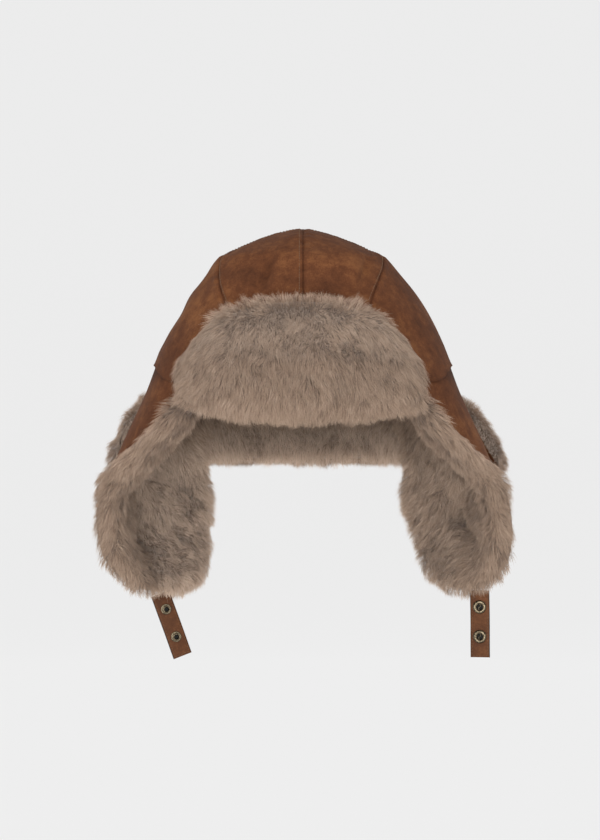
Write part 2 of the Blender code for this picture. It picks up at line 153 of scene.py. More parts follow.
def profile_table(outline):
    """A smooth outline's points, after the share of its length at each."""
    knots = np.array([outline[0]] + outline + [outline[-1]])
    place = np.linspace(0, len(outline) - 1, PROFILE_STEPS)
    i = np.minimum(place.astype(int), len(outline) - 2)
    t = (place - i)[:, None]
    a, b, c, d = knots[i], knots[i + 1], knots[i + 2], knots[i + 3]
    line = 0.5 * (2 * b + (c - a) * t + (2 * a - 5 * b + 4 * c - d) * t ** 2
                  + (3 * b - a - 3 * c + d) * t ** 3)
    run = run_along(line)
    return run / run[-1], line


SHOULDER, ROUND = profile_table(SHOULDER_OUTLINE), profile_table(ROUND_OUTLINE)


def crown_profile(share, sharp=1.0):
    """Radius and height at a share of the way down, with a sharp shoulder or a round one."""
    share = np.clip(share, 0, 1)
    lines = [np.stack([np.interp(share, run, column) for column in line.T], -1)
             for run, line in (SHOULDER, ROUND)]
    return mix(lines[1], lines[0], np.asarray(sharp)[..., None])


def crown_point(angle, share, inset):
    sharp = np.cos(angle) ** 2
    here = crown_profile(share, sharp)
    below = crown_profile(np.minimum(share + SLOPE_SHARE, 1), sharp)
    along = below - crown_profile(np.maximum(share - SLOPE_SHARE, 0), sharp)
    along /= np.linalg.norm(along, axis=-1, keepdims=True)
    radius = np.maximum(here[..., 0] + along[..., 1] * inset, SMALLEST_RADIUS)
    return stack(radius * np.cos(angle), CROWN_DEPTH * radius * np.sin(angle),
                 here[..., 1] - along[..., 0] * inset)


def crown_seam_angle(z, side):
    climb = np.clip((z - SEAM_Z) / SEAM_CLIMB, 0.0, 1.0)
    return np.radians(SEAM_DEGREES - SEAM_SWEEP * climb ** SEAM_BENDS[side])


def temple_angle(z):
    """Angle of the band's front edge at a height."""
    return np.radians(mix(EAR_FRONT, TEMPLE_ANGLE, smooth(*TEMPLE_HEIGHTS, z)))


def front_flap_point(u, v, proud, grow=0.0):
    """The turned-up front flap: u across it and v from the brow up."""
    across = 2 * u - 1
    up = np.clip(v, 0, 1)
    half = mix(FRONT_HALF_LOW, FRONT_HALF_TOP, up ** 1.5) + grow + FRONT_BULGE * np.sin(np.pi * up)
    bottom = BROW_Z - FRONT_OVERLAP + (FRONT_RISE - FRONT_SLANT * across) * across ** 2 - 0.5 * grow
    top = FRONT_TOP_Z - FRONT_TOP_DROP * across ** 2 + grow
    z = mix(bottom, top, v)
    x = across * half + FRONT_SHIFT
    stand = proud + FRONT_STAND * (z - BROW_Z) / (FRONT_TOP_Z - BROW_Z)
    width, depth = half_size(z)
    turn = np.clip(x / (width + stand), -0.999, 0.999)
    return stack(x, -(depth + stand) * np.sqrt(1 - turn ** 2), z)


def cuff_point(u, v, proud, grow=0.0):
    """The turned-up cuff: u round the back and v from its fold up."""
    angle = np.radians(mix(CUFF_ENDS[0] - CUFF_SPREAD * grow, CUFF_ENDS[1] + CUFF_SPREAD * grow, u))
    ends = np.abs(2 * u - 1) ** 8
    low = mix(CUFF_LOW_END, CUFF_LOW, smooth(0.0, 0.28, np.minimum(u, 1 - u)))
    z = mix(low - 0.7 * grow + CUFF_ROUND_LOW * ends, CUFF_TOP + grow - CUFF_ROUND_TOP * ends, v)
    lean = CUFF_LEAN * (1 - smooth(0.0, 0.22, u)) * (1 - np.clip(v, 0, 1))
    return band_point(angle, z, -proud - lean)


def ear_point(side, u, v, inset, grow=0.0):
    """The ear flap: u from its front edge to its rear and v from its fold down."""
    across = 2 * u - 1
    length = (EAR_LENGTH + grow) * (1 - EAR_ROUND * np.abs(across) ** 2.4)
    drop = mix(0.0, length, v)
    share = drop / EAR_LENGTH
    reach = across * (mix(EAR_HALF_TOP, EAR_HALF_LOW, np.clip(v, 0, 1) ** 1.5) + grow)
    curl = mix(np.where(reach < 0, EAR_CURL_FRONT, EAR_CURL_REAR), EAR_CURL_LOW, np.clip(share, 0, 1))
    turn = HINGE_TURN + EAR_TWIST * share
    along = stack(-side * np.sin(turn), np.cos(turn), 0.0)
    out = stack(side * np.cos(turn), np.sin(turn), 0.0)
    first = np.array([side * math.cos(HINGE_TURN), math.sin(HINGE_TURN), 0.0])
    offset = curl * (reach / EAR_HALF_TOP) ** 2 + inset
    stand = EAR_STAND + EAR_LEANS[side] * np.clip(share, 0, None) ** 1.8
    point = np.array([side * HINGE.x, HINGE.y, HINGE.z]) + along * reach[..., None]
    point = point - out * offset[..., None] - first * stand[..., None]
    point[..., 2] = HINGE.z - drop
    return point


def side_point(side, u, v, inset, grow=0.0):
    """One sheet from the crown to the ear flap's tip: v 0 to 0.5 on the band, then the flap."""
    v_band = np.clip(v * 2, 0, 1)
    z = mix(SIDE_TOP, HINGE.z, v_band)
    start = temple_angle(z) - grow / SIDE_GIRTH
    end = np.radians(mix(BACK_ANGLE, EAR_REAR, v_band)) + grow / SIDE_GIRTH
    on_band = band_point(mix(start, end, u), z, inset)
    on_band[..., 0] *= side
    on_flap = ear_point(side, u, np.clip(v * 2 - 1, 0, 1.2), inset, grow)
    flap_above = ear_point(side, u, np.clip(v * 2 - 1, -1.0, 0), inset, grow)
    turn = smooth(0.38, 0.56, v)[..., None]
    upper = v[..., None] < 0.5
    meet = np.where(upper, on_band, on_flap)
    other = np.where(upper, flap_above, on_band)
    other[..., 2] = meet[..., 2]
    blended = mix(meet, other, np.where(upper, turn, 1 - turn))
    blended[..., 2] = meet[..., 2]
    return blended


# ---- noise and mesh helpers
def unit(vectors):
    return vectors / np.maximum(np.linalg.norm(vectors, axis=-1, keepdims=True), 1e-12)


def waves(points, wavelength, seed, count):
    """Smooth repeatable noise, about -1 to 1: a sum of plane waves in random directions."""
    rng = np.random.default_rng(seed)
    direction = unit(rng.normal(size=(count, 3)))
    pitch = 2 * np.pi / (wavelength * rng.uniform(0.7, 1.5, count))
    phase = rng.uniform(0, 2 * np.pi, count)
    return np.sin(points @ (direction.T * pitch) + phase).sum(-1) / math.sqrt(count)


def grid_uv(columns, rows, u0=0.0, u1=1.0, v0=0.0, v1=1.0):
    return np.meshgrid(np.linspace(u0, u1, columns + 1), np.linspace(v0, v1, rows + 1))


def grid_faces(index, flip=False):
    """The quads of a grid of vertex numbers."""
    quads = np.stack([index[:-1, :-1], index[:-1, 1:], index[1:, 1:], index[1:, :-1]], -1).reshape(-1, 4)
    return quads[:, ::-1] if flip else quads


def grid_index(rows, columns):
    return np.arange(rows * columns).reshape(rows, columns)


def add_object(name, data):
    obj = bpy.data.objects.new(name, data)
    bpy.context.scene.collection.objects.link(obj)
    return obj


def mesh_object(name, vertices, faces, material):
    mesh = bpy.data.meshes.new(name)
    faces = faces.tolist() if isinstance(faces, np.ndarray) else faces
    mesh.from_pydata(np.asarray(vertices).reshape(-1, 3).tolist(), [], faces)
    mesh.validate()
    mesh.polygons.foreach_set("use_smooth", [True] * len(mesh.polygons))
    mesh.materials.append(material)
    return add_object(name, mesh)


def dress(piece, slot, body, *cad_nodes):
    """A piece's place in the frame: the nodes it replaces and its body; the slot is not used."""
    if cad_nodes:
        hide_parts(*cad_nodes)
    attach(piece, body)


def shell(name, outer, inner, material):
    """A closed shell between two grids of the same size, the first looking out."""
    r, c = outer.shape[0] // 2, outer.shape[1] // 2
    facing = np.cross(outer[r, c + 1] - outer[r, c], outer[r + 1, c] - outer[r, c])
    flip = np.dot(facing, outer[r, c] - inner[r, c]) < 0
    index = grid_index(*outer.shape[:2])
    rim = np.concatenate([index[0, :], index[1:, -1], index[-1, -2::-1], index[-2:0:-1, 0]])
    after = np.roll(rim, -1)
    wall = np.stack([rim, after, after + index.size, rim + index.size], -1)
    faces = [grid_faces(index, flip), grid_faces(index + index.size, not flip),
             wall if flip else wall[:, ::-1]]
    return mesh_object(name, np.stack([outer, inner]), np.concatenate(faces), material)


def add_wear_and_shade(piece, values):
    """Darkening, 0 to 1, on both sheets of a shell: darker seams and edges, and painted shade in hollows;
    its material reads it.
    """
    both = np.tile(np.clip(values, 0, 1).ravel(), 2)
    attribute = piece.data.attributes.new("wear_and_shade", "FLOAT", "POINT")
    attribute.data.foreach_set("value", both.astype(np.float32))


def rod_walls(rings, sides):
    """Corner numbers of the quads between the rings of a rod."""
    return grid_faces(np.pad(grid_index(rings, sides), ((0, 0), (0, 1)), "wrap")).tolist()


def stitches(name, path, normal, radius=0.00036, pitch=0.0024, length=0.0017):
    """A row of thread stitches that lies along a path just proud of the leather."""
    run = run_along(path)
    places = np.arange(pitch / 2, run[-1] - pitch / 2, pitch)

    def at(values, shift=0.0):
        return np.stack([np.interp(places + shift, run, column) for column in values.T], -1)
    rings, sides = 5, 6
    ahead = unit(at(path, length / 2) - at(path, -length / 2))
    up = unit(at(normal))
    across = np.cross(ahead, up)
    middle, ahead, up, across = (field[:, None, None] for field in (at(path), ahead, up, across))
    t = np.linspace(-1, 1, rings)[:, None, None]
    turn = np.linspace(0, 2 * np.pi, sides, endpoint=False)[:, None]
    vertices = middle + ahead * (t * length / 2) + up * (radius * (0.55 - 0.9 * t * t))
    vertices = vertices + (across * np.cos(turn) + up * np.sin(turn)) * radius * np.sqrt(1 - 0.92 * t ** 4)
    top = (rings - 1) * sides
    one = rod_walls(rings, sides) + [[5, 4, 3, 2], [5, 2, 1, 0], [top, top + 1, top + 2, top + 3],
                                     [top, top + 3, top + 4, top + 5]]
    faces = np.array(one) + np.arange(len(places))[:, None, None] * rings * sides
    return mesh_object(name, vertices, faces.reshape(-1, 4), THREAD)


# ---- materials
def settle(made, **values):
    """Sets a node's properties and inputs by name, with _ for a space; a socket given is linked."""
    for name, value in values.items():
        socket = made.inputs.get(name.replace("_", " "))
        if socket is None:
            setattr(made, name, value)
        elif isinstance(value, bpy.types.NodeSocket):
            made.id_data.links.new(value, socket)
        else:
            socket.default_value = value
    return made


def shader_of(name, **values):
    material = bpy.data.materials.new(name)
    material.use_nodes = True
    tree = material.node_tree
    return material, tree, settle(tree.nodes["Principled BSDF"], **values)


def node(tree, kind, **values):
    return settle(tree.nodes.new("ShaderNode" + kind), **values)


def colour_ramp(tree, factor, *stops):
    made = node(tree, "ValToRGB", Fac=factor)
    elements = made.color_ramp.elements
    elements[0].position, elements[0].color = stops[0]
    elements[1].position, elements[1].color = stops[-1]
    for position, colour in stops[1:-1]:
        elements.new(position).color = colour
    return made.outputs["Color"]


def bump(tree, height, distance, strength, **under):
    made = node(tree, "Bump", Distance=distance, Strength=strength, Height=height, **under)
    return made.outputs["Normal"]


def noise_factor(tree, scale, detail, rough):
    """Noise laid over an object's own coordinates, 0 to 1."""
    coords = node(tree, "TexCoord").outputs["Object"]
    return node(tree, "TexNoise", Scale=scale, Detail=detail, Roughness=rough, Vector=coords).outputs["Fac"]


def spread(tree, factor, low, high):
    return node(tree, "MapRange", To_Min=low, To_Max=high, Value=factor).outputs["Result"]


def leather_material(name, dark, mid, light, rough=0.8):
    """Nubuck: clouded colour, a fine grain, and darker where the shell's darkening attribute is high:
    darker seams and edges, and painted shade in the crown's dents.
    """
    material, tree, shader = shader_of(name, Specular_IOR_Level=0.13)
    cloud = noise_factor(tree, 24.0, 7.0, 0.66)
    streak = noise_factor(tree, 150.0, 5.0, 0.7)
    fine = noise_factor(tree, 1100.0, 3.0, 0.7)
    grain = node(tree, "TexVoronoi", Scale=1300.0, Vector=node(tree, "TexCoord").outputs["Object"])

    def blend(a, b, share):
        return node(tree, "Mix", data_type="FLOAT", Factor=share, A=a, B=b).outputs[0]
    tone = blend(blend(cloud, streak, 0.36), fine, 0.22)
    # The attribute carries darker seams and edges and the painted shade in the crown's dents.
    wear_and_shade = node(tree, "Attribute", attribute_name="wear_and_shade").outputs["Fac"]
    darker = node(tree, "Math", operation="MULTIPLY_ADD", Value=wear_and_shade)
    darker.inputs[1].default_value = -0.17
    tree.links.new(tone, darker.inputs[2])
    pores = bump(tree, grain.outputs["Distance"], 0.0002, 0.3)
    settle(shader, Base_Color=colour_ramp(tree, darker.outputs[0], (0.36, dark), (0.5, mid), (0.64, light)),
           Roughness=spread(tree, tone, rough - 0.12, rough + 0.16),
           Normal=bump(tree, streak, 0.0009, 0.3, Normal=pores))
    return material


def fibre_material(name, colour):
    """Hair fibres: one tone each, because the tones are mixed fibre by fibre."""
    return shader_of(name, Base_Color=colour, Roughness=0.75, Specular_IOR_Level=0.25, Sheen_Weight=0.15,
                     Sheen_Roughness=0.5)[0]


def cloth_material(name, dark, light, scale, rough=0.8, sheen=0.2, depth=0.0004):
    """Thread, paint, wadding and cloth: two tones in a noise that also lifts the surface."""
    material, tree, shader = shader_of(name, Roughness=rough, Sheen_Weight=sheen, Specular_IOR_Level=0.2)
    factor = noise_factor(tree, scale, 5.0, 0.65)
    settle(shader, Base_Color=colour_ramp(tree, factor, (0.3, dark), (0.7, light)),
           Normal=bump(tree, factor, depth, 0.6))
    return material


def brass_material(name, dark, light):
    material, tree, shader = shader_of(name, Metallic=1.0)
    factor = noise_factor(tree, 900.0, 4.0, 0.6)
    settle(shader, Base_Color=colour_ramp(tree, factor, (0.38, dark), (0.66, light)),
           Roughness=spread(tree, factor, 0.25, 0.5))
    return material


LEATHER = leather_material("nubuck_leather", (0.05, 0.017, 0.007, 1), (0.106, 0.037, 0.0145, 1),
                           (0.205, 0.082, 0.03, 1))
STRAP = leather_material("strap_leather", (0.046, 0.0165, 0.0068, 1), (0.079, 0.029, 0.011, 1),
                         (0.15, 0.06, 0.024, 1), 0.62)
EDGE = cloth_material("edge_paint", (0.012, 0.009, 0.008, 1), (0.022, 0.016, 0.013, 1), 300.0, 0.5, 0.0)
# Material of a near-black disc in each snap hole: painted shade at the floor of the hole.
HOLE_SHADE = cloth_material("snap_hole_painted_shade", (0.0015, 0.0012, 0.001, 1), (0.006, 0.005, 0.004, 1), 900.0,
                        0.6, 0.0)
THREAD = cloth_material("thread", (0.105, 0.055, 0.031, 1), (0.175, 0.098, 0.057, 1), 1500.0, 0.85, 0.0)
UNDERCOAT = cloth_material("fur_undercoat", (0.12, 0.083, 0.061, 1), (0.195, 0.14, 0.106, 1), 160.0,
                           0.95, 0.3, 0.0015)
WADDING = cloth_material("polyester_wadding", (0.55, 0.53, 0.5, 1), (0.75, 0.73, 0.7, 1), 140.0)
LINING = cloth_material("satin_lining", (0.03, 0.02, 0.016, 1), (0.05, 0.034, 0.026, 1), 60.0, 0.35, 0.5)
BRASS = brass_material("antique_brass_finish", (0.045, 0.034, 0.022, 1), (0.25, 0.205, 0.135, 1))
FIBRES = [fibre_material("fibre_" + tone, colour) for tone, colour in (
    ("dark", (0.154, 0.101, 0.069, 1)), ("mid", (0.24, 0.163, 0.114, 1)),
    ("warm", (0.317, 0.221, 0.158, 1)), ("pale", (0.388, 0.28, 0.206, 1)),
    ("tip", (0.48, 0.357, 0.269, 1)), ("bright", (0.59, 0.452, 0.352, 1)))]


# ---- fur
class Pad:
    """A closed undercoat between two grids that meet along their rims; fur grows on its face."""

    def __init__(self, name, face, back):
        self.name, self.face, self.back = name, face, back
        self.u, self.v = grid_uv(face.shape[1] - 1, face.shape[0] - 1)
        self.du, self.dv = np.gradient(face, axis=1), np.gradient(face, axis=0)
        normal = unit(np.cross(self.du, self.dv))
        self.outward = np.sum(normal * (face - back)) > 0
        self.normal = normal if self.outward else -normal

    def build(self):
        index = grid_index(*self.u.shape)
        shared = index.copy()
        shared[1:-1, 1:-1] += index.size
        faces = [grid_faces(index, not self.outward), grid_faces(shared, self.outward)]
        return mesh_object(self.name, np.stack([self.face, self.back]), np.concatenate(faces), UNDERCOAT)

    def areas(self, keep):
        cell = np.linalg.norm(np.cross(self.du, self.dv), axis=-1)[:-1, :-1]
        return cell * keep(self.u[:-1, :-1], self.v[:-1, :-1])

    def sampler(self, count, rng, keep):
        """Random places on the face, evenly by area, as a function that reads a field there."""
        cell = self.areas(keep)
        pick = rng.choice(cell.size, count, p=(cell / cell.sum()).ravel())
        r, c = np.divmod(pick, cell.shape[1])
        a, b = rng.random(count)[:, None], rng.random(count)[:, None]

        def at(field):
            field = field if field.ndim == 3 else field[..., None]
            low = field[r, c] * (1 - a) + field[r, c + 1] * a
            high = field[r + 1, c] * (1 - a) + field[r + 1, c + 1] * a
            return low * (1 - b) + high * b
        return at


def swollen_pad(name, surface, columns, rows, back, face, swell):
    """A pad whose back lies at one offset of a surface and whose face swells to another."""
    u, v = grid_uv(columns, rows)
    return Pad(name, surface(u, v, mix(back, face, swell(u, v))), surface(u, v, np.full_like(u, back)))


MM2_PER_M2 = 1e6
FIBRE_WIDTH = 0.00026
ROOT_DEPTH = 0.0015
# Tangles of the fur's flow: wavelength, amount and a number for the noise.
TANGLES = ((0.0045, 0.17, 1), (0.012, 0.18, 2), (0.035, 0.16, 3))
MIDDLE_TONE, TONE_CLOUD, TONE_SCATTER = 2.5, 0.28, 0.75


def grow_fur(pad, name, density, length, comb, seed, lift=even(0.9), keep=even(1.0), light=even(0.0)):
    """Fibres as tapered ribbons that rise off the pad and bend over along its comb.

    The comb gives a flow along u and one in the world. The other functions of u and v give the
    fibres' length, how far they rise, where they grow and the painted light and shade that shift their
    tone."""
    rng = np.random.default_rng(seed)
    count = int(pad.areas(keep).sum() * MM2_PER_M2 * density * (1.0))
    at = pad.sampler(count, rng, keep)
    root, normal = at(pad.face), unit(at(pad.normal))
    u, v = at(pad.u)[:, 0], at(pad.v)[:, 0]
    flow_u, flow_world = comb(u, v)
    flow = unit(at(pad.du)) * np.asarray(flow_u)[:, None] + flow_world
    for wavelength, amount, k in TANGLES:
        for axis in range(3):
            flow[:, axis] += amount * waves(root, wavelength, seed * 31 + k * 7 + axis, 9)
    flow += rng.normal(0, 0.13, (count, 3))
    flow -= normal * np.sum(flow * normal, 1, keepdims=True)
    strength = np.clip(np.linalg.norm(flow, axis=1, keepdims=True), 0.0, 1.0)
    flow = unit(flow) * strength
    uneven = 1 + 0.1 * waves(root, 0.02, seed + 5, 8) + np.clip(rng.normal(0, 0.12, count), -0.4, 0.3)
    size = (length(u, v) * uneven)[:, None]
    rise = (lift(u, v) * (1 + 0.16 * waves(root, 0.013, seed + 9, 8)))[:, None]
    climb = np.sqrt(np.clip(1 - (0.72 * strength) ** 2, 0.2, 1))
    spine = [root - normal * ROOT_DEPTH,
             root + size * (flow * 0.24 + normal * rise * climb * 0.48),
             root + size * (flow * 0.78 + normal * rise * climb * 0.8)]
    tangent = unit(spine[2] - spine[0])
    across = unit(np.cross(tangent, normal + 1e-4) + 0.6 * rng.normal(0, 1, (count, 1)) * normal)
    wide = FIBRE_WIDTH * rng.uniform(0.7, 1.3, (count, 1))
    half = across * wide / 2
    vertices = np.stack([spine[0] - half, spine[0] + half, spine[1] - half * 0.9, spine[1] + half * 0.9,
                         spine[2]], 1).reshape(-1, 3)
    # The tone: a middle tone shifted by the painted light and shade, with a random cloud and scatter.
    tone = (MIDDLE_TONE + light(u, v) + TONE_CLOUD * waves(root, 0.008, seed + 3, 10)
            + rng.normal(0, TONE_SCATTER, count))
    return ribbons(name, vertices, np.clip(np.round(tone), 0, len(FIBRES) - 1).astype(int))


def ribbons(name, vertices, tone):
    """One mesh of fibres, each a quad and a tip, darker at the root."""
    count = len(tone)
    base = (np.arange(count) * 5)[:, None]
    loops = np.concatenate([base + np.array([0, 1, 3, 2]), base + np.array([2, 3, 4])], axis=1)
    mesh = bpy.data.meshes.new(name)
    mesh.vertices.add(len(vertices))
    mesh.vertices.foreach_set("co", vertices.astype(np.float32).ravel())
    mesh.loops.add(loops.size)
    mesh.loops.foreach_set("vertex_index", loops.astype(np.int32).ravel())
    mesh.polygons.add(count * 2)
    starts = (np.arange(count) * 7)[:, None] + np.array([0, 4])
    mesh.polygons.foreach_set("loop_start", starts.astype(np.int32).ravel())
    index = np.stack([np.maximum(tone - 1, 0), tone], 1)
    mesh.polygons.foreach_set("material_index", index.astype(np.int32).ravel())
    mesh.update(calc_edges=True)
    mesh.polygons.foreach_set("use_smooth", np.ones(count * 2, bool))
    for material in FIBRES:
        mesh.materials.append(material)
    return add_object(name, mesh)


def rounded(power_u, power_v):
    """How far a pad swells: full in the middle and round at its edges."""
    def swell(u, v):
        edge = np.abs(2 * u - 1) ** power_u + np.abs(2 * v - 1) ** power_v
        return np.sqrt(np.clip(1 - edge, 0, 1))
    return swell


DENSITY, BROW_DENSITY = 3.3, 2.4
FILL, THIN_FILL = 0.6, 0.5


def fur_piece(pad, body, cad_node, fill, *growth, **looks):
    """A pad and its fur on one body."""
    coat = pad.build()
    fur = grow_fur(pad, cad_node + "_pile", *growth, **looks)
    dress(coat, "fur", body, cad_node)
    dress(fur, "fur", body)


def front_flap():
    pad = swollen_pad("front_flap_fur_coat", lambda u, v, p: front_flap_point(u, v, p, -0.001), 80, 48,
                      0.0075, 0.019, rounded(6, 4))

    def comb(u, v):
        side = 2 * u - 1
        outer = np.abs(side) ** 3 * np.sign(side)
        top = smooth(0.84, 1.0, v)
        return 0 * u, stack(outer * 0.8 + side * 0.35 * top, -0.15 * np.abs(outer), -0.95 + 1.3 * top)

    def lift(u, v):
        return 0.9 - 0.45 * smooth(0.4, 0.75, v) * (1 - smooth(0.88, 1.0, v))
    # Painted light: the fibres towards the top of the flap are made lighter.
    fur_piece(pad, "front_flap", "front_flap_fur", FILL, DENSITY, even(0.0105), comb, 11, lift=lift,
              light=lambda u, v: 0.8 * smooth(0.45, 0.8, v))
    u, v = grid_uv(60, 30)
    backing = shell("front_flap_leather", front_flap_point(u, v, 0.0048, -0.004),
                    front_flap_point(u, v, 0.0034, -0.004), LEATHER)
    u, v = grid_uv(40, 20)
    stiff = shell("front_flap_interlining", front_flap_point(u, v, 0.007, -0.007),
                  front_flap_point(u, v, 0.0055, -0.007), WADDING)
    dress(backing, "leather", "front_flap", "front_flap_backing")
    dress(stiff, "wadding", "front_flap", "front_flap_stiffener")


def rear_cuff():
    pad = swollen_pad("rear_cuff_fur_coat", lambda u, v, p: cuff_point(u, v, p, 0.001), 130, 26,
                      0.003, 0.0165, rounded(24, 4))

    def comb(u, v):
        ends = np.clip((np.abs(2 * u - 1) - 0.93) / 0.07, 0, 1) * np.sign(2 * u - 1)
        return ends * 0.8, stack(0.0, 0.0, -0.8 + 1.5 * smooth(0.7, 1.0, v))
    # Painted light: the fibres at the cuff's two ends are made lighter.
    fur_piece(pad, "hat", "rear_cuff_fur", FILL, DENSITY, even(0.0095), comb, 21,
              light=lambda u, v: 1.4 * (1 - smooth(0.06, 0.2, np.minimum(u, 1 - u))))
    u, v = grid_uv(90, 10)
    backing = shell("rear_cuff_leather", cuff_point(u, v, 0.003, -0.003), cuff_point(u, v, 0.0017, -0.003),
                    LEATHER)
    dress(backing, "leather", "hat", "rear_cuff_backing")


def ear_blend(piece):
    """Bakes a piece's transform into its mesh."""
    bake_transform(piece)


# The part of a side's width that is the front edge, rolled round the leather.
FRONT_ZONE = 0.16
ROLL_EDGE, HUMP_START, HUMP_END, VALLEY_PLACE, VALLEY_WIDTH = 0.13, 0.13, 0.37, 0.12, 0.04
ROLL_HEIGHT, CREST_HIGH, CREST_LOW, COAT_BACK = 0.016, 0.017, 0.008, 0.002
# The two sides differ: how far the roll reaches at the fold and lower down, how thick the rear half
# is, where the floor between them fills up, how far the edge wraps round the leather, how much
# wider and narrower the flap gets, where the painted shade in its valley ends and how much painted
# light lightens its rear half.
SIDE_SHAPES = {
    LEFT: {"roll": (0.37, 0.42, 0.58), "shrink": (0.2, 0.62, 0.8), "hump": 0.0105, "fill": (0.66, 0.8),
           "reach": 0.0095, "tuck": -0.004, "wider": 0.008, "narrower": 0.009,
           "valley_shade_end": (0.64, 0.76), "light": 1.0},
    RIGHT: {"roll": (0.27, 0.42, 0.56), "shrink": (0.05, 0.6, 0.8), "hump": 0.015, "fill": (0.76, 0.88),
            "reach": 0.0115, "tuck": -0.0065, "wider": 0.0125, "narrower": 0.004,
            "valley_shade_end": (0.78, 0.9), "light": 2.3}}


def roll_width(side, v):
    """How far across a side its front roll of fur reaches, as a share of the width."""
    widest, start, end = SIDE_SHAPES[side]["roll"]
    less, first, last = SIDE_SHAPES[side]["shrink"]
    return mix(0.1, widest, smooth(start, end, v)) - less * smooth(first, last, v)


def arch(start, end, arc):
    """An offset that goes from start to end as the arc goes from 0 to half a turn."""
    return 0.5 * (start + end) + 0.5 * (start - end) * np.cos(arc)


def side_pad(side, word):
    """The coat of a side and its ear flap: a curled front edge, a roll, a valley and a rear hump."""
    shape = SIDE_SHAPES[side]
    u, v = grid_uv(76, 84)
    inner = np.clip((u - FRONT_ZONE) / (1 - FRONT_ZONE), 0, 1)
    wrap = np.clip((FRONT_ZONE - u) / FRONT_ZONE, 0, 1)
    ends = np.sqrt(np.clip(1 - np.abs(2 * v - 1) ** 12, 0, 1))
    rear = np.sqrt(np.clip(1 - inner ** 18, 0, 1))
    low = smooth(0.42, 0.66, v)
    width = roll_width(side, v)
    roll = 1 - smooth(width, width + ROLL_EDGE, inner)
    hump = smooth(width + HUMP_START, width + HUMP_END, inner)
    fold = smooth(0.36, 0.5, v) * (1 - smooth(0.55, 0.75, v))
    floor = 0.001 + 0.0125 * smooth(*shape["fill"], v) * (1 - roll) * (1 - hump)
    hump_height = mix(0.0095, shape["hump"], low) + 0.003 * fold
    depth = (floor + ROLL_HEIGHT * roll + hump_height * hump) * ends * rear
    below_brow = smooth(0.08, 0.22, v)
    reach = mix(shape["reach"], 0.006, low) * ends * below_brow
    crest = mix(CREST_LOW, CREST_HIGH, below_brow) * ends
    out = mix(0.004, mix(shape["tuck"], 0.006, low), below_brow)
    arc = math.pi * 0.97 * wrap
    line = side_point(side, np.zeros_like(v), v, 0.0)
    ahead = unit(line - side_point(side, np.full_like(v, 0.05), v, 0.0))
    outward = unit(side_point(side, np.zeros_like(v), v, -0.001) - line)
    spread = shape["wider"] * smooth(0.2, 0.48, v) - shape["narrower"] * smooth(0.64, 0.95, v)
    spread = smooth(0.45, 1.0, inner) * spread + 0.003 * low

    def place(off, ext):
        on_edge = line - outward * off[..., None] + ahead * ext[..., None]
        return np.where((wrap > 0)[..., None], on_edge, side_point(side, inner, v, off, spread))
    face = place(np.where(wrap > 0, arch(crest, out, arc), COAT_BACK + depth), reach * np.sin(arc))
    back = place(np.where(wrap > 0, arch(COAT_BACK, out, arc), COAT_BACK), 0.003 * np.sin(arc))
    return Pad("ear_side_fur_coat_" + word, face, back)


def side_fur(side, word):
    """The fur inside a side and its ear flap."""
    shape = SIDE_SHAPES[side]
    pad = side_pad(side, word)
    coat = pad.build()

    def comb(u, v):
        front = np.clip((FRONT_ZONE - u) / FRONT_ZONE, 0, 1)
        return -0.45 * front + 0.6 * smooth(0.86, 1.0, u), stack(side * 0.25 * front, -0.2 * front, -0.8)

    # Painted light and shade in the fibres' tone: painted light on the rear half, painted shade high up
    # under the brow, and painted shade in the valley behind the front roll.
    def light(u, v):
        middle = FRONT_ZONE + (1 - FRONT_ZONE) * (roll_width(side, v) + VALLEY_PLACE)
        valley = bell(u - middle, VALLEY_WIDTH) * (1 - smooth(*shape["valley_shade_end"], v))
        rear = shape["light"] * smooth(0.46, 0.6, u) * smooth(0.25, 0.45, v)
        painted_shade_under_brow = (1 - smooth(0.12, 0.33, v)) * smooth(0.2, 0.4, u)
        return rear - 1.6 * painted_shade_under_brow - 2.9 * valley

    def length(u, v):
        return mix(0.0098, 0.0112, 1 - smooth(0.0, FRONT_ZONE * 1.3, u))
    fur = grow_fur(pad, "ear_side_fur_pile_" + word, DENSITY, length, comb, 31 + side, light=light,
                   keep=lambda u, v: (u > FRONT_ZONE) | (v > 0.06))
    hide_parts("ear_flap_fur_" + word, "side_fur_" + word)
    for piece in (coat, fur):
        ear_blend(piece)


LINING_TOP = 0.066


def lining_fur():
    """The fur inside the back and inside the brow."""
    strips = (("back", (52.0, 128.0), HEM_Z + 0.001, 0.0115, DENSITY, 41),
              ("brow", (-142.0, -38.0), BROW_Z + 0.0072, 0.007, BROW_DENSITY, 42))
    for name, angles, bottom, face, density, seed in strips:
        def surface(u, v, inset):
            return band_point(np.radians(mix(*angles, u)), mix(LINING_TOP, bottom, v), inset)
        pad = swollen_pad(name + "_fur_coat", surface, 60, 24, 0.0022, face, rounded(20, 8))
        # Painted shade at the top of each strip, turning to painted light towards its lower edge.
        fur_piece(pad, "hat", name + "_fur", THIN_FILL, density, even(0.0095),
                  lambda u, v: (0 * u, stack(0 * u, 0 * u, -0.75)), seed,
                  light=lambda u, v: mix(-2.2, 2.6, smooth(0.32, 0.78, v)))


# ---- leather shell
CROWN_SHARE = 0.93
LIP = 0.0018
CROWN_LEATHER, BAND_LEATHER = 0.0012, 0.0013
# Hollows and ridges in the front of the crown: x, z, half width, half height and depth.
DENTS = ((-0.027, 0.137, 0.0034, 0.013, 0.0038), (0.045, 0.14, 0.0032, 0.011, 0.0036),
         (-0.019, 0.13, 0.0045, 0.011, -0.0016), (0.036, 0.132, 0.0045, 0.011, -0.0014))
DENT_SLANT = 0.25
HEM_DROP, HEM_DROP_FRONT = 0.001, 0.0125
FIRST_SHARE = 0.0025
SEAM_TO_ROW = 0.0026


